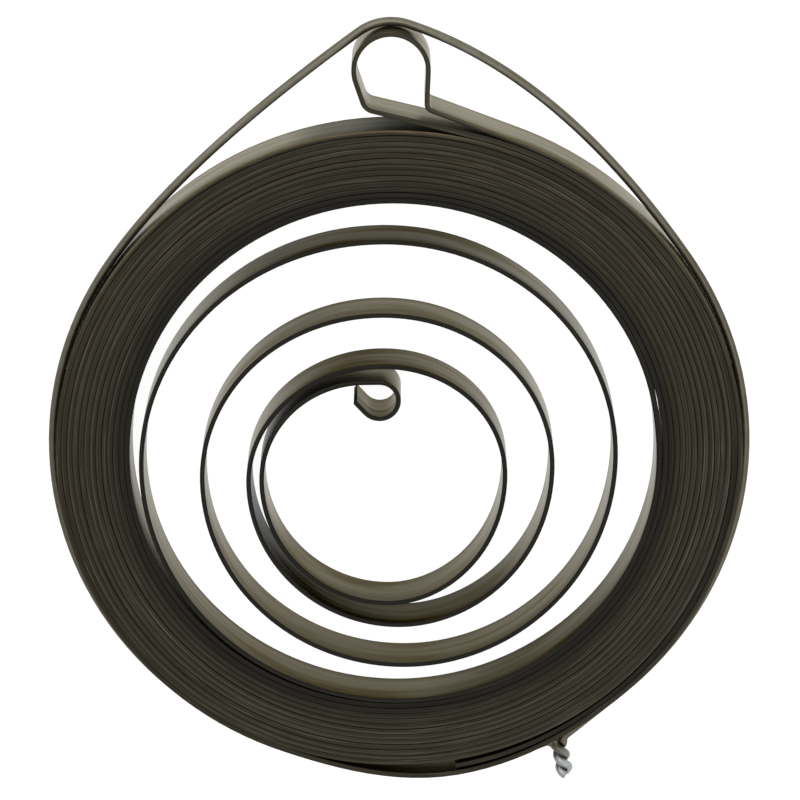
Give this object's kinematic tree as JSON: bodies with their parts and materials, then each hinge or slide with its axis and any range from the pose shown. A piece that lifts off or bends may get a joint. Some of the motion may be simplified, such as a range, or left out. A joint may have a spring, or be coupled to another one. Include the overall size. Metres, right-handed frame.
{
  "type": "recoil starter spring",
  "caption": "Flat steel recoil starter spring: a tight coiled pack with a looped outer eye, loose inner turns, a curled inner hook and a twisted tie wire that keeps it wound.",
  "frame": {"origin": "on the axis of the wound pack, in the plane of the strip's lower edges, on which the spring lies", "axes": "+Z along the coil axis, upward; +Y from the axis toward the outer eye; +X to the right as seen from above"},
  "size_m": [0.0719, 0.0821, 0.0055],
  "materials": {
    "spring_steel": "satin, lightly oiled",
    "zinc_wire": "galvanised"
  },
  "bodies": {
    "root": {"spring_strip": "spring_steel", "tie_wire": "zinc_wire"}
  },
  "joints": []
}
